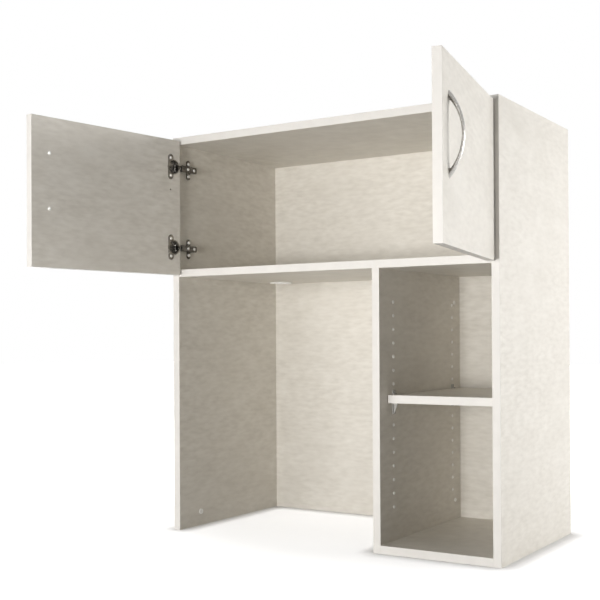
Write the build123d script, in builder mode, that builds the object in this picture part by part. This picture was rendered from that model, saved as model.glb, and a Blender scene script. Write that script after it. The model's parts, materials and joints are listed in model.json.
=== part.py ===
from build123d import *
import os
from math import acos, cos, degrees, hypot, radians, sin

os.makedirs("parts", exist_ok=True)

# Locker cabinet of melamine-faced board. Millimetres, +Z up, -Y is the open front.
# The origin is on the floor, at the middle of the back panel's lower edge.

# Overall sizes and boards
width = 905.0
depth = 455.0
height = 1016.0
board = 19.0
back_board = 6.0
back_inset = 8.0  # rear edges of the sides to the back panel's rear face
edging = 1.0  # edge band thickness
edging_round = 0.7
edging_joint = 0.05  # where two bands of a door meet
left_bay = 572.0  # clear width of the open bay
open_height = 654.5  # floor to the fixed shelf's underside

# Grooves that hold the back panel
groove_depth = 7.0
groove_end_play = 0.25
groove_side_play = 0.1

# Dowelled joints
dowel_radius = 4.0
dowel_in_face = 12.0
dowel_in_end = 18.0
dowel_play = 0.05
dowel_end_play = 1.0
dowel_setback = 50.0

# Shelf holes, adjustable shelf and its clips
hole_radius = 2.5
hole_depth = 11.0
hole_pitch = 32.0
hole_front = 67.0  # front row from the cabinet's front
hole_rear = 49.0  # back row from the back panel
hole_first = 98.0  # lowest hole above the floor
hole_top_margin = 75.0  # least distance from a row's top hole to the fixed shelf
clip_hole = 7  # the hole, counted from the lowest, that takes each clip's lower pin
shelf_above_hole = 20.5  # shelf underside above the clip's lower pin
shelf_setback = 36.0
shelf_rear_gap = 3.0
clip_plate = 2.2
clip_width = 12.0
clip_ledge = 12.0
clip_ledge_thick = 3.0
clip_rib = 2.6
clip_rise = 10.0  # clip above the shelf's top
clip_lip = 4.0
clip_lip_thick = 2.4
clip_foot = 6.0  # clip below its lower pin
clip_pin_length = 9.0
clip_play = 0.4

# Doors
reveal = 9.5  # half overlay: cabinet's outer side to the door's hinge edge, when shut
middle_gap = 3.0
door_thick = 19.0
door_bottom_reveal = 4.5  # fixed shelf's underside to the door's lower edge
door_top_reveal = 10.5
swing_clear = 0.35  # hinge edge of the swinging door to the cabinet's front
left_open = 99.0  # rest angles, from shut
right_open = 101.0

# Cup hinges
hinge_inset = 70.0  # hinge centre from the door's top and bottom edges
cup_radius = 17.5
cup_tab = 4.5  # cup hole from the door's hinge edge
cup_depth = 13.5
cup_wall = 1.0
cup_floor = 0.8
cup_fit = 0.1
flange_thick = 1.0
flange_rim = 1.5
flange_length = 65.0
flange_width = 17.0
cup_screw_spacing = 45.0
cup_screw_offset = 9.5
cup_screw_radius = 1.75
cup_screw_length = 10.0
cup_screw_head = 3.6
cup_screw_head_thick = 1.6
pin_above_floor = 3.2  # pin axis above the cup's floor
pin_radius = 1.25
pin_length = 17.2
pin_press = 0.02
pin_running = 0.05
cheek_reach = 2.4  # metal around the pin, in the cheeks that hold it
cheek_side_play = 0.4
eye_radius = 2.2
eye_clear = 0.8  # eye to the cup's wall
spoke_thick = 1.8
spoke_tilt = 8.0
neck_thick = 2.0
neck_width = 8.4
neck_clear = 0.5
arm_width = 16.0
arm_wall = 1.5
arm_height = 8.5
arm_lift = 3.5  # arm's open side above the cabinet's side panel
arm_front = -0.5
arm_rear = 60.0
arm_nose = 7.5
arm_taper = 3.6
arm_round = 1.0
arm_screws_from_front = (24.0, 48.0)  # side adjustment and fixing
arm_screw_radius = 1.85
arm_screw_head = 3.8
arm_screw_head_thick = 1.8
screw_play = 0.1

# Hinge mounting plates
plate_from_front = 37.0
plate_thick = 2.5
wing_length = 51.0
wing_width = 13.0
bar_length = 48.0
riser_length = 40.0
riser_play = 0.2
plate_screw_spacing = 32.0
plate_screw_radius = 2.5
plate_screw_length = 11.0
plate_screw_head = 4.6
plate_screw_head_thick = 2.0

# Bow handles
handle_centres = 128.0  # between the screws
handle_from_edge = 48.0  # screws from the door's free edge
handle_above = 199.0  # handle's middle above the door's lower edge
handle_span = 144.0  # between the points where the bow's centre line meets the door
handle_rise = 26.4
# half the bow: angle from its middle, half thickness, half width
handle_sections = ((0, 3.1, 5.0), (15, 3.3, 5.0), (26, 3.9, 5.2), (34, 4.6, 5.5), (45, 5.2, 5.8))
handle_post = 3.6  # radius of the post around each screw
handle_screw_radius = 2.0
handle_screw_bite = 7.0
handle_screw_head = 4.3
handle_screw_head_thick = 2.2

# Spare pilot hole on each door, below the upper hinge
pilot_radius = 2.0
pilot_depth = 11.0
pilot_below_hinge = 58.5

# Cable grommet and cover caps
grommet_x = 86.0  # from the cabinet's left side
grommet_rear = 71.0  # from the back panel
grommet_bore = 25.0
grommet_sleeve = 28.0
grommet_flange = 31.0
grommet_flange_thick = 4.0
grommet_fit = 0.2
grommet_ring = 31.5
grommet_ring_thick = 1.6
side_cap_y = 86.0  # from the cabinet's front
side_cap_z = 36.0
divider_cap_rear = 35.0  # from the back panel
divider_cap_margin = 69.0  # from the floor and from the fixed shelf
cap_radius = 7.0
divider_cap_radius = 5.0
cap_proud = 2.0
cap_stem_radius = 4.0
divider_cap_stem_radius = 2.5
cap_stem_length = 8.0
cap_fit = 0.1
plug_radius = 3.8  # heads of the plugs in the free shelf holes
plug_proud = 1.4
plug_round = 1.0

# Places worked out from the sizes above
left_x = -width / 2
right_x = width / 2
rear_y = back_inset + back_board / 2
front_y = rear_y - depth
core_front = front_y + edging
inner_left = left_x + board
inner_right = right_x - board
divider_left = inner_left + left_bay
divider_right = divider_left + board
shelf_top = open_height + board
top_under = height - board
back_rear = rear_y - back_inset
back_face = back_rear - back_board
door_bottom = open_height + door_bottom_reveal
door_top = height - door_top_reveal
door_width = (width - 2 * reveal - middle_gap) / 2
handle_height = door_bottom + handle_above
cup_centre = cup_tab + cup_radius
hinge_heights = {"lower": door_bottom + hinge_inset, "upper": door_top - hinge_inset}
pin_edge = cup_tab + cup_wall + eye_radius + eye_clear  # pin axis from the door's hinge edge
pin_depth = cup_depth - cup_floor - pin_above_floor  # pin axis from the door's inner face
corner_swing = hypot(pin_edge, pin_depth)  # radius that the door's inner hinge corner swings on
door_gap = corner_swing - pin_depth + swing_clear  # shut door to the cabinet's front
pin_y = front_y - door_gap - pin_depth
neck_radius = corner_swing + neck_clear + neck_thick / 2
hole_count = int((open_height - hole_top_margin - hole_first) / hole_pitch) + 1
hole_rows = (front_y + hole_front, back_face - hole_rear)

clip_pin_z = hole_first + clip_hole * hole_pitch
clip_upper_pin_z = clip_pin_z + hole_pitch
shelf_under = clip_pin_z + shelf_above_hole
shelf_front = front_y + shelf_setback
shelf_left = divider_right + clip_plate + clip_play
shelf_right = inner_right - clip_plate - clip_play

# inward is +1 on the left side, whose inside lies towards +X, and -1 on the right
sides = {"left": (1, left_x, left_open), "right": (-1, right_x, right_open)}


def slab(x, y, z, mode=Mode.ADD):
    """A straight block between pairs of limits, in the part being built."""
    with BuildSketch(Plane.XY.offset(z[0])) as outline:
        with Locations(((x[0] + x[1]) / 2, (y[0] + y[1]) / 2)):
            Rectangle(x[1] - x[0], y[1] - y[0])
    extrude(outline.sketch, amount=z[1] - z[0], mode=mode)


def rods(planes, radius, start, end, mode=Mode.ADD):
    """Round rods, or holes, that run from start to end along the normal of each plane."""
    with BuildSketch(*[plane.offset(start) for plane in planes]) as ends:
        Circle(radius)
    extrude(ends.sketch, amount=end - start, mode=mode)


def edge_band(plane, thickness, length):
    """A band on a board's edge. The plane lies across it: local x points out of the edge, local y through the board."""
    with BuildSketch(plane) as profile:
        Rectangle(edging, thickness, align=(Align.MIN, Align.CENTER))
        fillet(profile.vertices().group_by(Axis.X)[-1], edging_round)
    extrude(profile.sketch, amount=length / 2, both=True)


def save(builder, label):
    """Labels a finished piece and writes it."""
    builder.part.label = label
    export_step(builder.part, f"parts/{label}.step")


# Dowel places: each plane lies on the face of one board and points into the end of the other
dowel_rows = (front_y + dowel_setback, (front_y + back_face) / 2, back_face - dowel_setback)


def dowel_planes(x, z, normal):
    return [Plane(origin=(x, y, z), z_dir=normal) for y in dowel_rows]


left_dowels = dowel_planes(inner_left, top_under + board / 2, (1, 0, 0))
left_dowels += dowel_planes(inner_left, open_height + board / 2, (1, 0, 0))
right_dowels = dowel_planes(inner_right, top_under + board / 2, (-1, 0, 0))
right_dowels += dowel_planes(inner_right, open_height + board / 2, (-1, 0, 0))
right_bottom_dowels = dowel_planes(inner_right, board / 2, (-1, 0, 0))
divider_bottom_dowels = dowel_planes(divider_right, board / 2, (1, 0, 0))
divider_top_dowels = dowel_planes(divider_left + board / 2, open_height, (0, 0, -1))
all_dowels = left_dowels + right_dowels + right_bottom_dowels + divider_bottom_dowels + divider_top_dowels


def face_holes(planes):
    rods(planes, dowel_radius + dowel_play, 0, -dowel_in_face - dowel_end_play, Mode.SUBTRACT)


def end_holes(planes):
    rods(planes, dowel_radius + dowel_play, 0, dowel_in_end + dowel_end_play, Mode.SUBTRACT)


# Shelf holes: a front and a back row on each wall of the shelf bay
def shelf_hole_planes(x, normal):
    heights = [hole_first + n * hole_pitch for n in range(hole_count)]
    return [Plane(origin=(x, y, z), z_dir=normal) for y in hole_rows for z in heights]


# Hinge frames, with the origin on the pin. Both sides share one plan: the right side's frames are turned over,
# so that local x runs inwards from the pin and local y runs towards the back.
def carcass_frame(side, z):
    inward, outer_x, _ = sides[side]
    pin_x = outer_x + inward * (reveal + pin_edge)
    return Plane(origin=(pin_x, pin_y, z), x_dir=(inward, 0, 0), z_dir=(0, 0, inward))


def door_frame(side, z):
    """The carcass frame turned with the open door: local x runs along the door, local y out of its inner face."""
    inward, _, opened = sides[side]
    return carcass_frame(side, z).rotated((0, 0, -inward * opened))


def door_inner(side, along, z):
    """A plane on the door's inner face, facing the cabinet's inside, at a distance from the hinge edge."""
    frame = door_frame(side, z)
    spot = frame.from_local_coords(Vector(along - pin_edge, pin_depth, 0))
    return Plane(origin=spot, x_dir=frame.x_dir, z_dir=frame.y_dir)


def plate_plane(side, from_front, z):
    """A plane on the side panel's inner face, with local x towards the back."""
    inward, outer_x, _ = sides[side]
    spot = (outer_x + inward * board, front_y + from_front, z)
    return Plane(origin=spot, x_dir=(0, 1, 0), z_dir=(inward, 0, 0))


def plate_screw_planes(side):
    half = plate_screw_spacing / 2
    return [plate_plane(side, plate_from_front, z + step) for z in hinge_heights.values() for step in (-half, half)]


def cup_screw_planes(side, z):
    half = cup_screw_spacing / 2
    return [door_inner(side, cup_centre + cup_screw_offset, z + step) for step in (-half, half)]


def handle_screw_planes(side):
    half = handle_centres / 2
    return [door_inner(side, door_width - handle_from_edge, handle_height + step) for step in (-half, half)]


# Side panels
def make_side(side):
    inward, outer_x, _ = sides[side]
    inner_x = outer_x + inward * board
    with BuildPart() as panel:
        slab(sorted((outer_x, inner_x)), (core_front, rear_y), (0, height))
        slab(
            sorted((inner_x, inner_x - inward * groove_depth)),
            (back_face - groove_side_play, back_rear + groove_side_play),
            (0, top_under + groove_depth),
            Mode.SUBTRACT,
        )
        face_holes(left_dowels if side == "left" else right_dowels + right_bottom_dowels)
        rods(plate_screw_planes(side), plate_screw_radius + screw_play, 0, -plate_screw_length, Mode.SUBTRACT)
        if side == "left":
            rods([side_cap_plane], cap_stem_radius + cap_fit, 0, -cap_stem_length - cap_fit, Mode.SUBTRACT)
        else:
            rods(shelf_hole_planes(inner_x, (inward, 0, 0)), hole_radius, 0, -hole_depth, Mode.SUBTRACT)
    save(panel, f"{side}_side_panel")


side_cap_plane = Plane(origin=(inner_left, front_y + side_cap_y, side_cap_z), z_dir=(1, 0, 0))
for side in sides:
    make_side(side)

# Top, grooved underneath for the back
with BuildPart() as top_panel:
    slab((inner_left, inner_right), (core_front, rear_y), (top_under, height))
    slab(
        (inner_left, inner_right),
        (back_face - groove_side_play, back_rear + groove_side_play),
        (top_under, top_under + groove_depth),
        Mode.SUBTRACT,
    )
    end_holes([plane for plane in left_dowels + right_dowels if plane.origin.Z > top_under])
save(top_panel, "top_panel")

# Fixed shelf, with the cable hole at the back left
grommet_plane = Plane(origin=(left_x + grommet_x, back_face - grommet_rear, open_height))
with BuildPart() as fixed_shelf:
    slab((inner_left, inner_right), (core_front, back_face), (open_height, shelf_top))
    end_holes([plane for plane in left_dowels + right_dowels if plane.origin.Z < top_under])
    face_holes(divider_top_dowels)
    rods([grommet_plane], grommet_sleeve + grommet_fit, 0, board, Mode.SUBTRACT)
save(fixed_shelf, "fixed_shelf")

# Divider, with shelf holes and caps on its right face
divider_cap_planes = [
    Plane(origin=(divider_right, back_face - divider_cap_rear, z), z_dir=(1, 0, 0))
    for z in (divider_cap_margin, open_height - divider_cap_margin)
]
with BuildPart() as divider_panel:
    slab((divider_left, divider_right), (core_front, back_face), (0, open_height))
    end_holes(divider_top_dowels)
    face_holes(divider_bottom_dowels)
    rods(shelf_hole_planes(divider_right, (1, 0, 0)), hole_radius, 0, -hole_depth, Mode.SUBTRACT)
    rods(divider_cap_planes, divider_cap_stem_radius + cap_fit, 0, -cap_stem_length - cap_fit, Mode.SUBTRACT)
save(divider_panel, "divider_panel")

# Bottom of the shelf bay
with BuildPart() as bottom_panel:
    slab((divider_right, inner_right), (core_front, back_face), (0, board))
    end_holes(divider_bottom_dowels + right_bottom_dowels)
save(bottom_panel, "bottom_panel")

# Back, let into the grooves
groove_reach = groove_depth - groove_end_play
with BuildPart() as back_panel:
    slab((inner_left - groove_reach, inner_right + groove_reach), (back_face, back_rear), (0, top_under + groove_reach))
save(back_panel, "back_panel")

# Dowels
with BuildPart() as wood_dowels:
    rods(all_dowels, dowel_radius, -dowel_in_face, dowel_in_end)
save(wood_dowels, "wood_dowels")

# Front edge bands
edging_runs = {
    "left_side_edging": ((left_x, inner_left), (0, height)),
    "right_side_edging": ((inner_right, right_x), (0, height)),
    "top_edging": ((inner_left, inner_right), (top_under, height)),
    "fixed_shelf_edging": ((inner_left, inner_right), (open_height, shelf_top)),
    "divider_edging": ((divider_left, divider_right), (0, open_height)),
    "bottom_edging": ((divider_right, inner_right), (0, board)),
}
for label, (x, z) in edging_runs.items():
    middle = (sum(x) / 2, core_front, sum(z) / 2)
    upright = z[1] - z[0] > x[1] - x[0]
    with BuildPart() as band:
        across = Plane(origin=middle, x_dir=(0, -1, 0), z_dir=(0, 0, 1) if upright else (1, 0, 0))
        edge_band(across, board, max(x[1] - x[0], z[1] - z[0]))
    save(band, label)

# Adjustable shelf
with BuildPart() as adjustable_shelf:
    slab(
        (shelf_left, shelf_right),
        (shelf_front + edging, back_face - shelf_rear_gap),
        (shelf_under, shelf_under + board),
    )
save(adjustable_shelf, "adjustable_shelf")

with BuildPart() as shelf_band:
    middle = ((shelf_left + shelf_right) / 2, shelf_front + edging, shelf_under + board / 2)
    edge_band(Plane(origin=middle, x_dir=(0, -1, 0), z_dir=(1, 0, 0)), board, shelf_right - shelf_left)
save(shelf_band, "adjustable_shelf_edging")

# Locking shelf clips: a plate on the wall with two pins, a ribbed ledge under the shelf and a lip over it
clip_low = clip_pin_z - clip_foot
clip_top = shelf_under + board + clip_play + clip_rise
lip_under = shelf_under + board + clip_play
with BuildPart() as shelf_clips:
    for wall_x, inward in ((divider_right, 1), (inner_right, -1)):
        for row in hole_rows:
            # local x stands off the wall, local y is up
            section = Plane(origin=(wall_x, row, 0), x_dir=(inward, 0, 0), z_dir=(0, -inward, 0))
            with BuildSketch(section) as bracket:
                with Locations((clip_plate / 2, (clip_low + clip_top) / 2)):
                    Rectangle(clip_plate, clip_top - clip_low)
                with Locations((clip_ledge / 2, shelf_under - clip_ledge_thick / 2)):
                    Rectangle(clip_ledge, clip_ledge_thick)
                with Locations(((clip_plate + clip_lip) / 2, lip_under + clip_lip_thick / 2)):
                    Rectangle(clip_plate + clip_lip, clip_lip_thick)
            extrude(bracket.sketch, amount=clip_width / 2, both=True)
            with BuildSketch(section) as rib:
                with BuildLine():
                    Polyline(
                        (clip_plate / 2, clip_low),
                        (clip_plate, clip_low),
                        (clip_ledge - 1, shelf_under - clip_ledge_thick),
                        (clip_plate / 2, shelf_under - clip_ledge_thick),
                        close=True,
                    )
                make_face()
            extrude(rib.sketch, amount=clip_rib / 2, both=True)
            pins = [Plane(origin=(wall_x, row, z), z_dir=(-inward, 0, 0)) for z in (clip_pin_z, clip_upper_pin_z)]
            rods(pins, hole_radius - clip_play / 4, -clip_plate / 2, clip_pin_length)
save(shelf_clips, "shelf_clips")

# Cable grommet: a sleeve through the fixed shelf with its collar underneath, and the ring that holds it on top
sleeve_top = board + grommet_ring_thick
with BuildPart() as cable_grommet:
    rods([grommet_plane], grommet_sleeve, 0, sleeve_top)
    rods([grommet_plane], grommet_flange, -grommet_flange_thick, 0)
    fillet(cable_grommet.edges().group_by(Axis.Z)[0], grommet_flange_thick / 3)
    rods([grommet_plane], grommet_bore, -grommet_flange_thick, sleeve_top, Mode.SUBTRACT)
save(cable_grommet, "cable_grommet")

with BuildPart() as sleeve_ring:
    rods([grommet_plane], grommet_ring, board, sleeve_top)
    fillet(sleeve_ring.edges().group_by(Axis.Z)[-1], grommet_ring_thick / 2)
    rods([grommet_plane], grommet_sleeve + grommet_fit / 2, board, sleeve_top, Mode.SUBTRACT)
save(sleeve_ring, "grommet_ring")


# Cover caps
def make_caps(planes, radius, stem_radius, label):
    with BuildPart() as caps:
        rods(planes, radius, 0, cap_proud)
        fillet(caps.edges().filter_by(GeomType.CIRCLE).group_by(Axis.X)[-1], cap_proud / 2)
        rods(planes, stem_radius, 0, -cap_stem_length)
    save(caps, label)


make_caps([side_cap_plane], cap_radius, cap_stem_radius, "side_cover_cap")
make_caps(divider_cap_planes, divider_cap_radius, divider_cap_stem_radius, "divider_cover_caps")

# Plugs in the shelf holes that no clip uses
with BuildPart() as plugs:
    for wall, facing in ((divider_right, 1), (inner_right, -1)):
        holes = shelf_hole_planes(wall, (facing, 0, 0))
        free_holes = [hole for hole in holes if hole.origin.Z not in (clip_pin_z, clip_upper_pin_z)]
        rods(free_holes, plug_radius, 0, plug_proud)
        crown = wall + facing * plug_proud
        rims = plugs.edges().filter_by(GeomType.CIRCLE).filter_by_position(Axis.X, crown - 0.01, crown + 0.01)
        fillet(rims, plug_round)
        rods(free_holes, hole_radius - cap_fit, 0, -cap_stem_length)
save(plugs, "shelf_hole_plugs")


# Doors: a drilled core with a band on each edge
def door_block(side, along, z, mode=Mode.ADD):
    """A block of the door's full thickness between limits along the door and up it."""
    with BuildSketch(door_frame(side, (z[0] + z[1]) / 2)) as outline:
        with Locations(((along[0] + along[1]) / 2 - pin_edge, pin_depth - door_thick / 2)):
            Rectangle(along[1] - along[0], door_thick)
    extrude(outline.sketch, amount=(z[1] - z[0]) / 2, both=True, mode=mode)


def make_door(side):
    with BuildPart() as door:
        door_block(side, (edging, door_width - edging), (door_bottom + edging, door_top - edging))
        for z in hinge_heights.values():
            rods([door_inner(side, cup_centre, z)], cup_radius + cup_fit, 0, -cup_depth - cup_fit, Mode.SUBTRACT)
            rods(cup_screw_planes(side, z), cup_screw_radius + screw_play, 0, -cup_screw_length, Mode.SUBTRACT)
        rods(handle_screw_planes(side), handle_screw_radius + screw_play, 0, -door_thick, Mode.SUBTRACT)
        pilot = door_inner(side, cup_centre + cup_screw_offset, hinge_heights["upper"] - pilot_below_hinge)
        rods([pilot], pilot_radius, 0, -pilot_depth, Mode.SUBTRACT)
    save(door, f"{side}_door")

    middle = door_frame(side, (door_bottom + door_top) / 2)
    core_width = door_width - 2 * edging
    core_height = door_top - door_bottom - 2 * edging
    core = middle.from_local_coords(Vector(door_width / 2 - pin_edge, pin_depth - door_thick / 2, 0))
    along = middle.x_dir
    up = Vector(0, 0, 1)
    with BuildPart() as bands:
        for out in (-along, along):
            upright = Plane(origin=core + out * (core_width / 2), x_dir=out, z_dir=up)
            edge_band(upright, door_thick, core_height + 2 * edging)
        for out in (-up, up):
            level = Plane(origin=core + out * (core_height / 2), x_dir=out, z_dir=along)
            edge_band(level, door_thick, core_width - 2 * edging_joint)
    save(bands, f"{side}_door_edging")


# Bow handle: an oval bar bent to one arc, thicker at its ends, cut flush where it meets the door's outer face.
# A short post under each end takes the screw.
def make_handle(side):
    frame = door_frame(side, handle_height)
    foot = frame.from_local_coords(Vector(door_width - handle_from_edge - pin_edge, pin_depth - door_thick, 0))
    # local x stands out of the door, local y runs along its height
    bow = Plane(origin=foot, x_dir=-frame.y_dir, z_dir=frame.x_dir)
    bow_radius = ((handle_span / 2) ** 2 + handle_rise**2) / (2 * handle_rise)
    bow_centre = foot + bow.x_dir * (handle_rise - bow_radius)
    screw_height = handle_centres / 2
    post_rise = handle_rise - bow_radius + (bow_radius**2 - screw_height**2) ** 0.5
    half_bow = [(radians(turn), thick, wide) for turn, thick, wide in handle_sections]
    stations = [(-turn, thick, wide) for turn, thick, wide in half_bow[:0:-1]] + half_bow
    with BuildPart() as handle:
        for turn, half_thick, half_wide in stations:
            out = bow.x_dir * cos(turn) + bow.y_dir * sin(turn)
            along = bow.y_dir * cos(turn) - bow.x_dir * sin(turn)
            with BuildSketch(Plane(origin=bow_centre + out * bow_radius, x_dir=out, z_dir=along)):
                Ellipse(half_thick, half_wide)
        loft()
        split(bisect_by=Plane(origin=foot, z_dir=-frame.y_dir), keep=Keep.TOP)
        rods(handle_screw_planes(side), handle_post, -door_thick - post_rise, -door_thick)
        rods(
            handle_screw_planes(side),
            handle_screw_radius + screw_play,
            -door_thick - handle_screw_bite - screw_play,
            -door_thick,
            Mode.SUBTRACT,
        )
    save(handle, f"{side}_handle")

    with BuildPart() as screws:
        rods(handle_screw_planes(side), handle_screw_head, 0, handle_screw_head_thick)
        rods(handle_screw_planes(side), handle_screw_radius, 0, -door_thick - handle_screw_bite)
    save(screws, f"{side}_handle_screws")


# Hinge cup: a pressed pot with a winged flange, and two cheeks inside it that hold the pin
def make_cup(side, level):
    z = hinge_heights[level]
    mouth = door_inner(side, cup_centre, z)
    frame = door_frame(side, z)
    floor_y = pin_depth - cup_depth  # cup's underside in the door frame
    with BuildPart() as cup:
        with BuildSketch(frame) as cheek:
            Circle(cheek_reach)
            with Locations((0, floor_y / 2)):
                Rectangle(2 * cheek_reach, -floor_y)
        extrude(cheek.sketch, amount=pin_length / 2, both=True)
        extrude(cheek.sketch, amount=neck_width / 2 + cheek_side_play, both=True, mode=Mode.SUBTRACT)
        rods([mouth], cup_radius, 0, -cup_depth, Mode.INTERSECT)
        with BuildSketch(mouth) as wall:
            Circle(cup_radius)
            Circle(cup_radius - cup_wall, mode=Mode.SUBTRACT)
        extrude(wall.sketch, amount=-cup_depth)
        rods([mouth], cup_radius, -cup_depth, cup_floor - cup_depth)
        with BuildSketch(mouth) as flange:
            Circle(cup_radius + flange_rim)
            with Locations((cup_screw_offset, 0)):
                SlotOverall(flange_length, flange_width, rotation=90)
            Circle(cup_radius - cup_wall, mode=Mode.SUBTRACT)
        extrude(flange.sketch, amount=flange_thick)
        holes = cup_screw_planes(side, z)
        rods(holes, cup_screw_radius + 2 * screw_play, 0, flange_thick, Mode.SUBTRACT)
        rods([frame], pin_radius + pin_press, -pin_length / 2, pin_length / 2, Mode.SUBTRACT)
    save(cup, f"{side}_{level}_hinge_cup")


def make_cup_hardware(side):
    with BuildPart() as pins:
        frames = [door_frame(side, z) for z in hinge_heights.values()]
        rods(frames, pin_radius, -pin_length / 2, pin_length / 2)
    save(pins, f"{side}_hinge_pins")

    with BuildPart() as screws:
        spots = [plane for z in hinge_heights.values() for plane in cup_screw_planes(side, z)]
        rods(spots, cup_screw_head, flange_thick, flange_thick + cup_screw_head_thick)
        rods(spots, cup_screw_radius, flange_thick, -cup_screw_length)
    save(screws, f"{side}_cup_screws")


# Hinge arm: a channel on the plate whose swan neck reaches round the door's edge to the pin in the cup
def make_arm(side, level):
    inward = sides[side][0]
    frame = carcass_frame(side, hinge_heights[level])
    # the arm's limits in the frame, measured inwards and towards the back from the pin
    low = board - reveal - pin_edge + arm_lift
    front = door_gap + pin_depth + arm_front
    rear = door_gap + pin_depth + arm_rear
    with BuildPart() as arm:
        with BuildSketch(frame) as channel:
            with Locations((low + arm_height / 2, (front + rear) / 2)):
                Rectangle(arm_height, rear - front)
        extrude(channel.sketch, amount=arm_width / 2, both=True)
        corners = arm.edges().filter_by(Axis.X).group_by(Axis.Y)
        chamfer(corners[0], arm_taper)
        fillet(corners[-1], arm_width / 4)
        fillet(arm.faces().sort_by(Axis.X)[-1 if inward > 0 else 0].edges(), arm_round)
        with BuildSketch(frame) as hollow:
            with Locations((low + (arm_height - arm_wall) / 2, (front + arm_nose + rear) / 2)):
                Rectangle(arm_height - arm_wall, rear - front - arm_nose)
        extrude(hollow.sketch, amount=arm_width / 2 - arm_wall, both=True, mode=Mode.SUBTRACT)
        # the neck: an eye on the pin, a spoke out to a ring about the pin, and a leg from the ring into the arm
        leg = low + arm_height / 2
        bend = degrees(acos(leg / neck_radius))
        with BuildSketch(frame) as neck:
            Circle(eye_radius)
            with PolarLocations(neck_radius / 2, 1, start_angle=-spoke_tilt):
                Rectangle(neck_radius, spoke_thick)
            with BuildLine() as curve:
                CenterArc((0, 0), neck_radius, -spoke_tilt, bend + spoke_tilt)
                Line(curve.line @ 1, (leg, front + arm_nose / 2))
            trace(curve.line, line_width=neck_thick)
        extrude(neck.sketch, amount=neck_width / 2, both=True)
        rods([frame], pin_radius + pin_running, -neck_width / 2, neck_width / 2, Mode.SUBTRACT)
        web_top = arm_lift + arm_height
        holes = [plate_plane(side, from_front, hinge_heights[level]) for from_front in arm_screws_from_front]
        rods(holes, arm_screw_radius + screw_play, web_top - arm_wall, web_top, Mode.SUBTRACT)
    save(arm, f"{side}_{level}_hinge_arm")


# Mounting plate: a cross with a riser that fills the arm's channel
def make_plate(side, level):
    z = hinge_heights[level]
    base = plate_plane(side, plate_from_front, z)
    with BuildPart() as plate:
        with BuildSketch(base) as cross:
            SlotOverall(wing_length, wing_width, rotation=90)
            SlotOverall(bar_length, wing_width)
        extrude(cross.sketch, amount=plate_thick)
        with BuildSketch(base) as riser:
            Rectangle(riser_length, arm_width - 2 * arm_wall - 2 * riser_play)
        extrude(riser.sketch, amount=arm_lift + arm_height - arm_wall - riser_play)
        half = plate_screw_spacing / 2
        holes = [plate_plane(side, plate_from_front, z + step) for step in (-half, half)]
        rods(holes, plate_screw_radius + screw_play, 0, plate_thick, Mode.SUBTRACT)
        threads = [plate_plane(side, from_front, z) for from_front in arm_screws_from_front]
        rods(threads, arm_screw_radius, 0, arm_lift + arm_height, Mode.SUBTRACT)
    save(plate, f"{side}_{level}_hinge_plate")


def make_plate_hardware(side):
    with BuildPart() as screws:
        spots = plate_screw_planes(side)
        rods(spots, plate_screw_head, plate_thick, plate_thick + plate_screw_head_thick)
        rods(spots, plate_screw_radius, plate_thick, -plate_screw_length)
    save(screws, f"{side}_plate_screws")

    with BuildPart() as arm_screws:
        spots = [plate_plane(side, y, z) for z in hinge_heights.values() for y in arm_screws_from_front]
        web_top = arm_lift + arm_height
        rods(spots, arm_screw_head, web_top, web_top + arm_screw_head_thick)
        rods(spots, arm_screw_radius, web_top, plate_thick)
    save(arm_screws, f"{side}_arm_screws")


for side in sides:
    make_door(side)
    make_handle(side)
    make_cup_hardware(side)
    make_plate_hardware(side)
    for level in hinge_heights:
        make_cup(side, level)
        make_arm(side, level)
        make_plate(side, level)
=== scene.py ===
"""Looks for the white locker cabinet: finishes, finely made fittings, studio, lights and camera."""

import json
import math

import bpy
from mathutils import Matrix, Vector


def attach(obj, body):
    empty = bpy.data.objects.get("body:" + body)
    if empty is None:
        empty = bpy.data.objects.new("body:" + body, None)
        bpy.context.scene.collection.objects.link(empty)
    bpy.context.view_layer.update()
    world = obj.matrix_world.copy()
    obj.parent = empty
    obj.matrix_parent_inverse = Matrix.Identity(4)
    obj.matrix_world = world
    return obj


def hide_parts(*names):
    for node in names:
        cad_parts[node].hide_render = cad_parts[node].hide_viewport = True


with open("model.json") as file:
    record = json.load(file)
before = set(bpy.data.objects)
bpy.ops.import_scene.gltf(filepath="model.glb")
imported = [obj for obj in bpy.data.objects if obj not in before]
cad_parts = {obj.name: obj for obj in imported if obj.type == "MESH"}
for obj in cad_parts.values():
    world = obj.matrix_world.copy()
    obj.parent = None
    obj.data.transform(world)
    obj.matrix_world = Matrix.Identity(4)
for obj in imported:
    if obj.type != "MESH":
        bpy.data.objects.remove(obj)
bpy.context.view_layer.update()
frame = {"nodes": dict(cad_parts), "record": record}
NODES = frame["nodes"]

# Camera, solved from the cabinet's corners. Metres and degrees, in the frame of the model.
CAMERA_PLACE = (1.302, -2.5196, 0.4941)
CAMERA_TURN = (90.451, 0.308, 31.603)
CAMERA_LENS, SENSOR_WIDTH = 62.013, 36.0
CAMERA_SHIFT = (-0.05, 0.05)

# Door frames: pin axis, rest angle and the pin's place from the door's hinge edge and inner face
PIN_X, PIN_Y = 0.4345, -0.4570975
PIN_EDGE, PIN_DEPTH = 0.0085, 0.0095
OPEN_ANGLE = {"left": 99.0, "right": 101.0}
HINGE_HEIGHTS = {"lower": 0.729, "upper": 0.9355}
CABINET_FRONT = -0.444
PANEL_INNER = 0.4335

# Screws of the doors: head radius and height, shank radius and length
CUP_SCREW = (0.0036, 0.0016, 0.00175, 0.011)
PLATE_SCREW = (0.0046, 0.0020, 0.0025, 0.0135)
ARM_SCREW = (0.0038, 0.0018, 0.00185, 0.0094)
HANDLE_SCREW = (0.0043, 0.0022, 0.0020, 0.026)

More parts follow.
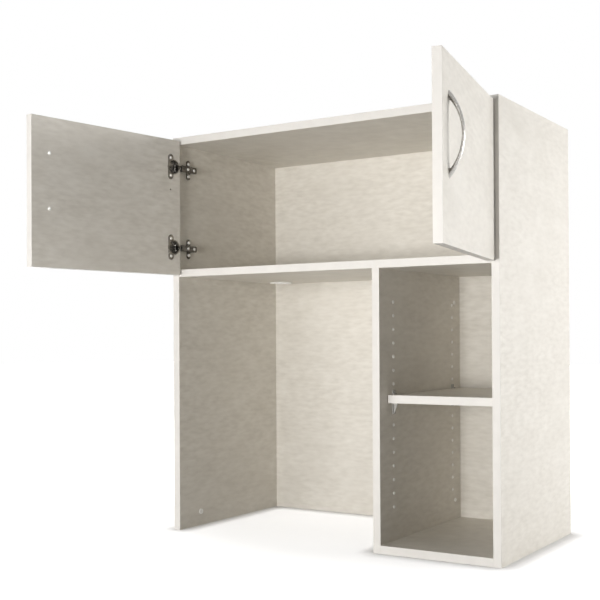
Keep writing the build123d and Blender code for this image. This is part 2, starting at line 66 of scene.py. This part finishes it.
# Their places: lines back from the hinge edge or the cabinet's front, spacings, and the height of each seat
CUP_SCREW_LINE, CUP_SCREW_SPACING, CUP_FLANGE = 0.0315, 0.045, 0.001
PLATE_SCREW_LINE, PLATE_SCREW_SPACING, PLATE_WING = 0.037, 0.032, 0.0025
ARM_SCREW_LINES, ARM_TOP = (0.024, 0.048), 0.012
HANDLE_LINE, HANDLE_HEIGHT, HANDLE_SPACING = 0.3935, 0.858, 0.128

# Caps and plugs: radius and height, stem radius and length, sides
SIDE_CAP = (0.007, 0.002, 0.004, 0.008, 40)
DIVIDER_CAP = (0.005, 0.002, 0.0025, 0.008, 36)
HOLE_PLUG = (0.0038, 0.0014, 0.0024, 0.008, 16)
SIDE_CAP_PLACE = (-PANEL_INNER, -0.358, 0.036)
DIVIDER_FACE = 0.1575
DIVIDER_CAP_DEPTH, DIVIDER_CAP_HEIGHTS = -0.038, (0.069, 0.5855)

# Shelf holes: the two rows, the lowest hole, their pitch and count, and the holes that hold a clip
HOLE_ROWS = (-0.377, -0.052)
LOWEST_HOLE, HOLE_PITCH, HOLE_COUNT = 0.098, 0.032, 16
CLIP_HOLES = (7, 8)

# Spare pilot hole of each door, and the play round its lining
PILOT_RADIUS, PILOT_DEPTH, PILOT_BELOW_HINGE = 0.002, 0.011, 0.0585
LINING_WALL, LINING_PLAY, LINING_SHORT, LINING_SINK = 0.0003, 0.00005, 0.0002, 0.0001

# Rounding: edge widths by piece, the angle from which an edge is sharp, and the angle shaded as a curve
HINGE_EDGE, CLIP_EDGE, GROMMET_EDGE, RING_EDGE = 0.00025, 0.0003, 0.0005, 0.0004
SHARP_ANGLE, CURVE_ANGLE = 40, 35


# Finishes


def new_finish(name):
    """A new material, with its node tree and its Principled shader."""
    material = bpy.data.materials.new(name)
    material.use_nodes = True
    tree = material.node_tree
    shader = tree.nodes["Principled BSDF"]
    return material, tree, shader


def object_pattern(tree, scale=(1, 1, 1)):
    """Object coordinates stretched by scale, for patterns that stay on the piece."""
    place = tree.nodes.new("ShaderNodeTexCoord")
    stretch = tree.nodes.new("ShaderNodeMapping")
    stretch.inputs["Scale"].default_value = scale
    tree.links.new(place.outputs["Object"], stretch.inputs["Vector"])
    return stretch.outputs["Vector"]


def noise(tree, vector, scale, detail=3.0, roughness=0.5):
    texture = tree.nodes.new("ShaderNodeTexNoise")
    texture.inputs["Scale"].default_value = scale
    texture.inputs["Detail"].default_value = detail
    texture.inputs["Roughness"].default_value = roughness
    tree.links.new(vector, texture.inputs["Vector"])
    return texture.outputs["Fac"]


def ramp(tree, value, stops):
    """Turns a value into a colour by (position, colour) stops."""
    node = tree.nodes.new("ShaderNodeValToRGB")
    elements = node.color_ramp.elements
    for element, (position, colour) in zip(elements, (stops[0], stops[-1])):
        element.position = position
        element.color = (*colour, 1)
    for position, colour in stops[1:-1]:
        elements.new(position).color = (*colour, 1)
    tree.links.new(value, node.inputs["Fac"])
    return node.outputs["Color"]


def map_range(tree, value, source, target):
    node = tree.nodes.new("ShaderNodeMapRange")
    node.inputs["From Min"].default_value, node.inputs["From Max"].default_value = source
    node.inputs["To Min"].default_value, node.inputs["To Max"].default_value = target
    tree.links.new(value, node.inputs["Value"])
    return node.outputs["Result"]


def map_noise(tree, value, low, high):
    """Spreads the middle of a noise value over the range from low to high."""
    return map_range(tree, value, (0.3, 0.7), (low, high))


def mix_colours(tree, factor, a, b):
    node = tree.nodes.new("ShaderNodeMix")
    node.data_type = "RGBA"
    tree.links.new(factor, node.inputs["Factor"])
    tree.links.new(a, node.inputs["A"])
    tree.links.new(b, node.inputs["B"])
    return node.outputs["Result"]


def bump(tree, shader, height, strength, distance):
    node = tree.nodes.new("ShaderNodeBump")
    node.inputs["Strength"].default_value = strength
    node.inputs["Distance"].default_value = distance
    tree.links.new(height, node.inputs["Height"])
    tree.links.new(node.outputs["Normal"], shader.inputs["Normal"])


def board_finish():
    """White melamine: soft clouds, short level flecks and a fine pebbled texture."""
    material, tree, shader = new_finish("white_melamine")
    plain = object_pattern(tree)
    clouds = noise(tree, object_pattern(tree, (1, 1, 2)), scale=9.0, detail=4.0, roughness=0.6)
    flecks = noise(tree, object_pattern(tree, (1, 1, 3.2)), scale=33.0, detail=2.5, roughness=0.42)
    cloudy = ramp(tree, clouds, [(0.28, (0.68, 0.645, 0.58)), (0.72, (0.82, 0.79, 0.73))])
    flecked = ramp(
        tree,
        flecks,
        [(0.28, (0.65, 0.615, 0.55)), (0.5, (0.75, 0.715, 0.65)), (0.74, (0.84, 0.81, 0.75))],
    )
    patches = map_noise(tree, noise(tree, plain, scale=4.0, detail=2.0), 0.25, 0.7)
    tree.links.new(mix_colours(tree, patches, cloudy, flecked), shader.inputs["Base Color"])
    tree.links.new(map_noise(tree, flecks, 0.36, 0.5), shader.inputs["Roughness"])
    pebbles = noise(tree, object_pattern(tree, (1, 1, 2.5)), scale=900.0, detail=2.0)
    bump(tree, shader, pebbles, strength=0.12, distance=0.0004)
    shader.inputs["Specular IOR Level"].default_value = 0.4
    return material


def edge_band_finish():
    """Smooth white edge band, a little cleaner than the board."""
    material, tree, shader = new_finish("white_edge_band")
    clouds = noise(tree, object_pattern(tree), scale=30.0)
    colour = ramp(tree, clouds, [(0.3, (0.75, 0.725, 0.685)), (0.7, (0.79, 0.765, 0.725))])
    tree.links.new(colour, shader.inputs["Base Color"])
    tree.links.new(map_noise(tree, clouds, 0.4, 0.5), shader.inputs["Roughness"])
    grain = noise(tree, object_pattern(tree), scale=1400.0, detail=1.0)
    bump(tree, shader, grain, strength=0.05, distance=0.0002)
    return material


def moulded_white_finish():
    """White moulded plastic of the caps, the plugs and the cable collar."""
    material, tree, shader = new_finish("moulded_white")
    clouds = noise(tree, object_pattern(tree), scale=60.0, detail=2.0)
    colour = ramp(tree, clouds, [(0.3, (0.92, 0.91, 0.885)), (0.7, (0.95, 0.94, 0.92))])
    tree.links.new(colour, shader.inputs["Base Color"])
    tree.links.new(map_noise(tree, clouds, 0.24, 0.34), shader.inputs["Roughness"])
    grain = noise(tree, object_pattern(tree), scale=2500.0, detail=1.0)
    bump(tree, shader, grain, strength=0.04, distance=0.0002)
    return material


def clear_plastic_finish():
    """Clear moulded plastic of the shelf clips."""
    material, tree, shader = new_finish("clear_plastic")
    clouds = noise(tree, object_pattern(tree), scale=160.0, detail=2.0)
    colour = ramp(tree, clouds, [(0.3, (0.9, 0.88, 0.84)), (0.7, (0.97, 0.955, 0.92))])
    tree.links.new(colour, shader.inputs["Base Color"])
    tree.links.new(map_noise(tree, clouds, 0.06, 0.14), shader.inputs["Roughness"])
    shader.inputs["Transmission Weight"].default_value = 0.55
    shader.inputs["IOR"].default_value = 1.49
    return material


def metal_finish(name, dark, light, smooth, rough, grain):
    """Plated metal whose tone and gloss vary with a fine grain."""
    material, tree, shader = new_finish(name)
    marks = noise(tree, object_pattern(tree), scale=grain, detail=4.0, roughness=0.6)
    tree.links.new(ramp(tree, marks, [(0.3, dark), (0.7, light)]), shader.inputs["Base Color"])
    tree.links.new(map_noise(tree, marks, smooth, rough), shader.inputs["Roughness"])
    shader.inputs["Metallic"].default_value = 1.0
    bump(tree, shader, marks, strength=0.03, distance=0.0001)
    return material


def beech_finish():
    """Beech dowels, which the joints hide."""
    material, tree, shader = new_finish("beech")
    grain = noise(tree, object_pattern(tree, (1, 6, 6)), scale=120.0)
    colour = ramp(tree, grain, [(0.3, (0.5, 0.33, 0.18)), (0.7, (0.66, 0.47, 0.28))])
    tree.links.new(colour, shader.inputs["Base Color"])
    shader.inputs["Roughness"].default_value = 0.6
    return material


def painted_shade_chipboard_finish():
    """Bare chipboard, painted dark brown as the shade seen in a hole through the white face."""
    material, tree, shader = new_finish("painted_shade_chipboard_core")
    chips = noise(tree, object_pattern(tree), scale=700.0)
    colour = ramp(tree, chips, [(0.3, (0.1, 0.07, 0.045)), (0.7, (0.2, 0.15, 0.1))])
    tree.links.new(colour, shader.inputs["Base Color"])
    shader.inputs["Roughness"].default_value = 0.9
    return material


# The record's slots, and two finishes that it has no slot for: the hinge cups' nickel, painted lighter as a
# highlight, and bare board, painted dark as shade
FINISHES = {
    "board": board_finish(),
    "edge_band": edge_band_finish(),
    "white_plastic": moulded_white_finish(),
    "clear_plastic": clear_plastic_finish(),
    "satin_nickel": metal_finish("satin_nickel", (0.3, 0.29, 0.27), (0.48, 0.465, 0.44), 0.2, 0.32, 420.0),
    # Lit and shaded copies of one nickel: plates and arms darker as painted shade, cups lighter as a painted
    # highlight
    "nickel_plate": metal_finish("nickel_plate", (0.05, 0.047, 0.042), (0.2, 0.19, 0.175), 0.12, 0.26, 260.0),
    "cup_nickel_painted_highlight": metal_finish("cup_nickel_painted_highlight", (0.15, 0.142, 0.13), (0.36, 0.345, 0.32), 0.14, 0.28, 260.0),
    "screw_steel": metal_finish("zinc_plate", (0.74, 0.73, 0.71), (0.88, 0.87, 0.85), 0.3, 0.46, 900.0),
    "beech": beech_finish(),
    "painted_shade_chipboard": painted_shade_chipboard_finish(),
}


def dress(piece, finish):
    piece.data.materials.clear()
    piece.data.materials.append(FINISHES[finish])


for subpart in frame["record"]["subparts"]:
    dress(NODES[subpart["node"]], subpart["material_slot"])


# Pieces


def pick(piece, kind, wanted):
    """Goes into edit mode with just those vertices, edges or polygons selected that wanted() accepts."""
    if bpy.context.mode != "OBJECT":
        bpy.ops.object.mode_set(mode="OBJECT")
    mesh = piece.data
    for items in (mesh.vertices, mesh.edges, mesh.polygons):
        items.foreach_set("select", [False] * len(items))
    for item in getattr(mesh, kind):
        item.select = wanted(item)
    kinds = ("vertices", "edges", "polygons")
    bpy.context.tool_settings.mesh_select_mode = [each == kind for each in kinds]
    bpy.ops.object.mode_set(mode="EDIT")


def settle(piece):
    """Leaves edit mode and moves the piece's place into its mesh."""
    if bpy.context.mode != "OBJECT":
        bpy.ops.object.mode_set(mode="OBJECT")
    bpy.ops.object.select_all(action="DESELECT")
    piece.select_set(True)
    bpy.context.view_layer.objects.active = piece
    bpy.ops.object.transform_apply(location=True, rotation=True, scale=True)


def smooth(piece, angle=CURVE_ANGLE):
    """Shades the piece as curved, apart from edges sharper than the angle."""
    settle(piece)
    bpy.ops.object.shade_smooth_by_angle(angle=math.radians(angle))


def apply_modifiers(piece):
    settle(piece)
    for modifier in list(piece.modifiers):
        bpy.ops.object.modifier_apply(modifier=modifier.name)


def rod(radius, low, high, around):
    """An upright cylinder between two heights, to be shaped further."""
    bpy.ops.object.select_all(action="DESELECT")
    bpy.ops.mesh.primitive_cylinder_add(
        vertices=around, radius=radius, depth=high - low, location=(0, 0, (low + high) / 2)
    )
    piece = bpy.context.object
    settle(piece)
    return piece


def sink_face(shift):
    """Draws the selected face straight down by a shift along z."""
    bpy.ops.mesh.extrude_region_move(TRANSFORM_OT_translate={"value": (0, 0, shift)})


def add_stem(piece, head_radius, stem_radius, stem_length):
    """Draws a tapered stem out of the flat underside of a head that stands on z = 0."""
    taper = 0.8
    pick(piece, "polygons", lambda face: face.normal.z < -0.9 and face.center.z < 1e-5)
    bpy.ops.mesh.inset(thickness=head_radius - stem_radius)
    sink_face(-stem_length)
    bpy.ops.transform.resize(value=(taper, taper, 1))
    settle(piece)


def round_rim(piece, height, width, segments):
    """Rounds the upper rim of a head that stands on z = 0."""
    rim = [vertex.co.z > height * 0.9 for vertex in piece.data.vertices]
    pick(piece, "edges", lambda edge: all(rim[end] for end in edge.vertices))
    bpy.ops.mesh.bevel(offset=width, segments=segments, profile=0.5, affect="EDGES")
    settle(piece)


def dished_plug(radius, height, stem_radius, stem_length, around):
    """A round collar on a stem, with a shallow dished face."""
    rim, lip, dish, floor_margin = height * 0.18, radius * 0.1, height * 0.5, radius * 0.15
    plug = rod(radius, 0, height, around)
    round_rim(plug, height, rim, 2)
    add_stem(plug, radius, stem_radius, stem_length)
    pick(plug, "polygons", lambda face: face.normal.z > 0.9 and face.center.z > height * 0.99)
    bpy.ops.mesh.inset(thickness=lip)
    sink_face(-dish)
    bpy.ops.mesh.inset(thickness=floor_margin)
    smooth(plug)
    return plug


def cross_head_screw(head_radius, head_height, shank_radius, shank_length):
    """A pan-head screw with a cross recess, head on z = 0 and shank below."""
    rim, slot_length, slot_width = head_height * 0.7, head_radius * 1.25, head_radius * 0.26
    slot_height = head_height * 1.1
    screw = rod(head_radius, 0, head_height, 28)
    round_rim(screw, head_height, rim, 4)
    add_stem(screw, head_radius, shank_radius, shank_length)
    for along, across in ((slot_length, slot_width), (slot_width, slot_length)):
        bpy.ops.object.select_all(action="DESELECT")
        bpy.ops.mesh.primitive_cube_add(
            size=1, location=(0, 0, head_height), scale=(along, across, slot_height)
        )
        bar = bpy.context.object
        settle(bar)
        cut = screw.modifiers.new("recess", "BOOLEAN")
        cut.operation = "DIFFERENCE"
        cut.object = bar
        apply_modifiers(screw)
        bpy.data.objects.remove(bar)
    smooth(screw)
    return screw


def set_copies(template, name, places, node, slot):
    """Sets a copy of the template at each (point, direction) place, and lets them stand for a node."""
    copies = []
    for point, direction in places:
        copy = bpy.data.objects.new(name, template.data.copy())
        bpy.context.scene.collection.objects.link(copy)
        copy.location = point
        copy.rotation_euler = Vector(direction).to_track_quat("Z", "Y").to_euler()
        copies.append(copy)
    bpy.ops.object.select_all(action="DESELECT")
    for copy in copies:
        copy.select_set(True)
    bpy.context.view_layer.objects.active = copies[0]
    bpy.ops.object.join()
    group = bpy.context.object
    settle(group)
    group.name = name
    stand_in(group, node, slot)


BODY_OF = {node: body for body, nodes in frame["record"]["behaviour"]["bodies"].items() for node in nodes}


def stand_in(piece, node, slot, finish=None):
    """The piece takes the node's place on its body, in the finish of its slot or a copy of it painted lighter
    as a highlight.
    """
    dress(piece, finish or slot)
    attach(piece, BODY_OF[node])
    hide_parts(node)


def softened_copy(node, width, slot, finish=None):
    """A copy of a node whose sharp edges are rounded, so that they catch the light."""
    piece = bpy.data.objects.new(node + "_rounded", NODES[node].data.copy())
    bpy.context.scene.collection.objects.link(piece)
    settle(piece)
    pick(piece, "polygons", lambda face: True)
    bpy.ops.mesh.remove_doubles(threshold=1e-6)
    bpy.ops.mesh.dissolve_limited(angle_limit=math.radians(0.5))
    settle(piece)
    edge = piece.modifiers.new("edge", "BEVEL")
    edge.width = width
    edge.segments = 2
    edge.limit_method = "ANGLE"
    edge.angle_limit = math.radians(SHARP_ANGLE)
    apply_modifiers(piece)
    smooth(piece, SHARP_ANGLE)
    stand_in(piece, node, slot, finish)


def door_axes(side):
    """The door's directions at rest: along it from the hinge edge, and out of its inner face."""
    out = 1 if side == "left" else -1
    opened = math.radians(OPEN_ANGLE[side])
    along = Vector((out * math.cos(opened), -math.sin(opened), 0))
    inside = Vector((out * math.sin(opened), math.cos(opened), 0))
    pin = Vector((-out * PIN_X, PIN_Y, 0))
    return pin, along, inside


def on_door(side, from_hinge_edge, z, proud):
    """A point at a height above the door's inner face, and the face's direction."""
    pin, along, inside = door_axes(side)
    point = pin + along * (from_hinge_edge - PIN_EDGE) + inside * (PIN_DEPTH + proud)
    return (point.x, point.y, z), inside


def on_panel(side, from_front, z, proud):
    """A point at a height above a side panel's inner face, and the face's direction."""
    inward = 1 if side == "left" else -1
    return (inward * (proud - PANEL_INNER), CABINET_FRONT + from_front, z), Vector((inward, 0, 0))


def pair(z, spacing):
    """The two heights that lie a spacing apart about z."""
    return (z - spacing / 2, z + spacing / 2)


def screws_of_doors():
    """Cross-head screws of the hinges and handles, in place of each group of plain ones."""
    sizes = {"cup": CUP_SCREW, "plate": PLATE_SCREW, "arm": ARM_SCREW, "handle": HANDLE_SCREW}
    templates = {kind: cross_head_screw(*size) for kind, size in sizes.items()}
    hinges = HINGE_HEIGHTS.values()
    cup_heights = [spot for z in hinges for spot in pair(z, CUP_SCREW_SPACING)]
    plate_heights = [spot for z in hinges for spot in pair(z, PLATE_SCREW_SPACING)]
    handle_heights = pair(HANDLE_HEIGHT, HANDLE_SPACING)
    for side in OPEN_ANGLE:
        places = {
            "cup": [on_door(side, CUP_SCREW_LINE, z, CUP_FLANGE) for z in cup_heights],
            "plate": [on_panel(side, PLATE_SCREW_LINE, z, PLATE_WING) for z in plate_heights],
            "arm": [on_panel(side, line, z, ARM_TOP) for z in hinges for line in ARM_SCREW_LINES],
            "handle": [on_door(side, HANDLE_LINE, z, 0.0) for z in handle_heights],
        }
        for kind, spots in places.items():
            name, node = f"{side}_{kind}_cross_screws", f"{side}_{kind}_screws"
            set_copies(templates[kind], name, spots, node, "screw_steel")
    for template in templates.values():
        bpy.data.objects.remove(template)


def caps_and_plugs():
    """Dished caps on the side panel and the divider, and plugs in the free shelf holes."""
    right, left = Vector((1, 0, 0)), Vector((-1, 0, 0))
    side_spots = [(SIDE_CAP_PLACE, right)]
    divider_spots = [((DIVIDER_FACE, DIVIDER_CAP_DEPTH, z), right) for z in DIVIDER_CAP_HEIGHTS]
    free = [LOWEST_HOLE + HOLE_PITCH * hole for hole in range(HOLE_COUNT) if hole not in CLIP_HOLES]
    hole_spots = [
        ((wall, row, z), facing)
        for wall, facing in ((DIVIDER_FACE, right), (PANEL_INNER, left))
        for row in HOLE_ROWS
        for z in free
    ]
    for size, name, spots, node in (
        (SIDE_CAP, "side_dished_cap", side_spots, "side_cover_cap"),
        (DIVIDER_CAP, "divider_dished_caps", divider_spots, "divider_cover_caps"),
        (HOLE_PLUG, "shelf_hole_dished_plugs", hole_spots, "shelf_hole_plugs"),
    ):
        template = dished_plug(*size)
        set_copies(template, name, spots, node, "white_plastic")
        bpy.data.objects.remove(template)


def pilot_hole_painted_shade_linings():
    """A thin lining of bare board, painted dark as shade, in the spare pilot hole of each door."""
    radius, depth = PILOT_RADIUS - LINING_PLAY, PILOT_DEPTH - LINING_SHORT
    height = HINGE_HEIGHTS["upper"] - PILOT_BELOW_HINGE
    for side in OPEN_ANGLE:
        core = rod(radius, -depth, 0, 32)
        pick(core, "polygons", lambda face: face.normal.z > 0.9)
        bpy.ops.mesh.inset(thickness=LINING_WALL)
        sink_face(LINING_WALL - depth)
        smooth(core)
        core.location, facing = on_door(side, CUP_SCREW_LINE, height, -LINING_SINK)
        core.rotation_euler = facing.to_track_quat("Z", "Y").to_euler()
        settle(core)
        core.name = f"{side}_pilot_hole_painted_shade_lining"
        # The lining's dark brown is painted shade inside the hole
        dress(core, "painted_shade_chipboard")
        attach(core, BODY_OF[f"{side}_door"])


# The cups wear the lighter copy of the hinge nickel, a painted highlight; plates and arms keep the darker
# one, painted shade
HINGE_FINISHES = {"plate": "nickel_plate", "arm": "nickel_plate", "cup": "cup_nickel_painted_highlight"}

screws_of_doors()
caps_and_plugs()
pilot_hole_painted_shade_linings()
for side in OPEN_ANGLE:
    for level in HINGE_HEIGHTS:
        for part, finish in HINGE_FINISHES.items():
            softened_copy(f"{side}_{level}_hinge_{part}", HINGE_EDGE, "nickel_plate", finish)
softened_copy("shelf_clips", CLIP_EDGE, "clear_plastic")
softened_copy("cable_grommet", GROMMET_EDGE, "white_plastic")
softened_copy("grommet_ring", RING_EDGE, "white_plastic")


# Studio


def seen_rays(tree):
    """1 for the rays that show the background: camera, glossy and transmission rays."""
    path = tree.nodes.new("ShaderNodeLightPath")
    seen = path.outputs["Is Camera Ray"]
    for kind in ("Is Glossy Ray", "Is Transmission Ray"):
        either = tree.nodes.new("ShaderNodeMath")
        either.operation = "MAXIMUM"
        tree.links.new(seen, either.inputs[0])
        tree.links.new(path.outputs[kind], either.inputs[1])
        seen = either.outputs["Value"]
    return seen


def white_world(ambient):
    """White where it is seen, and a faint ambient light on the cabinet."""
    world = bpy.data.worlds.new("studio")
    bpy.context.scene.world = world
    world.use_nodes = True
    tree = world.node_tree
    background = tree.nodes["Background"]
    background.inputs["Color"].default_value = (1, 1, 1, 1)
    tree.links.new(map_range(tree, seen_rays(tree), (0, 1), (ambient, 1)), background.inputs["Strength"])


def studio_floor(size, near, far, lift, painted_shadow_reach, painted_shadow_depth):
    """A pale floor: white further off, with the cabinet's shadow and a painted contact shadow where it
    stands.
    """
    bpy.ops.object.select_all(action="DESELECT")
    bpy.ops.mesh.primitive_plane_add(size=size, location=(0, 0, 0))
    floor = bpy.context.object
    floor.name = "studio_floor"
    material, tree, shader = new_finish("pale_floor")
    shader.inputs["Base Color"].default_value = (0.7, 0.695, 0.69, 1)
    shader.inputs["Roughness"].default_value = 0.9
    shader.inputs["Emission Color"].default_value = (1, 1, 1, 1)
    place = tree.nodes.new("ShaderNodeTexCoord")
    distance = tree.nodes.new("ShaderNodeVectorMath")
    distance.operation = "LENGTH"
    tree.links.new(place.outputs["Object"], distance.inputs[0])
    brightness = map_range(tree, distance.outputs["Value"], (near, far), (lift, 1))
    # Painted contact shadow: the floor's glow fades where the cabinet blocks the open air above it
    open_air = tree.nodes.new("ShaderNodeAmbientOcclusion")
    open_air.inputs["Distance"].default_value = painted_shadow_reach
    contact = tree.nodes.new("ShaderNodeMath")
    contact.operation = "POWER"
    contact.inputs[1].default_value = painted_shadow_depth
    tree.links.new(open_air.outputs["AO"], contact.inputs[0])
    strength = brightness
    for factor in (contact.outputs["Value"], seen_rays(tree)):
        product = tree.nodes.new("ShaderNodeMath")
        product.operation = "MULTIPLY"
        tree.links.new(strength, product.inputs[0])
        tree.links.new(factor, product.inputs[1])
        strength = product.outputs["Value"]
    tree.links.new(strength, shader.inputs["Emission Strength"])
    floor.data.materials.append(material)


CENTRE = (0.0, -0.22, 0.5)
SOFT_WHITE = (1.0, 0.99, 0.975)


def soft_light(name, place, size, power):
    """A soft white panel lamp that faces the middle of the cabinet."""
    lamp = bpy.data.lights.new(name, "AREA")
    lamp.shape = "RECTANGLE"
    lamp.size, lamp.size_y = size
    lamp.energy = power
    lamp.color = SOFT_WHITE
    holder = bpy.data.objects.new(name, lamp)
    bpy.context.scene.collection.objects.link(holder)
    holder.location = place
    holder.rotation_euler = (Vector(CENTRE) - Vector(place)).to_track_quat("-Z", "Y").to_euler()


white_world(ambient=0.02)
studio_floor(size=30.0, near=0.5, far=1.05, lift=0.64, painted_shadow_reach=0.05, painted_shadow_depth=3.0)
soft_light("front_light", place=(0.22, -4.3, 0.5), size=(0.6, 0.9), power=66)
soft_light("front_left_light", place=(-1.5, -4.0, 0.6), size=(1.6, 1.4), power=38)
soft_light("front_low_light", place=(0.25, -4.0, 0.15), size=(0.8, 0.25), power=18)
soft_light("right_light", place=(3.58, 1.85, 0.9), size=(3.6, 1.4), power=136)
soft_light("left_light", place=(-3.6, 0.9, 1.0), size=(2.0, 2.0), power=74)
soft_light("back_light", place=(-0.6, 4.2, 1.0), size=(2.4, 2.0), power=38)
soft_light("top_light", place=(0.0, -0.2, 3.6), size=(2.0, 2.0), power=27)


# Camera


def photo_camera():
    data = bpy.data.cameras.new("photo_camera")
    data.sensor_width = SENSOR_WIDTH
    data.lens = CAMERA_LENS
    data.shift_x, data.shift_y = CAMERA_SHIFT
    camera = bpy.data.objects.new("photo_camera", data)
    bpy.context.scene.collection.objects.link(camera)
    camera.location = CAMERA_PLACE
    camera.rotation_euler = [math.radians(angle) for angle in CAMERA_TURN]
    bpy.context.scene.camera = camera


photo_camera()
bpy.context.scene.view_settings.view_transform = "Standard"
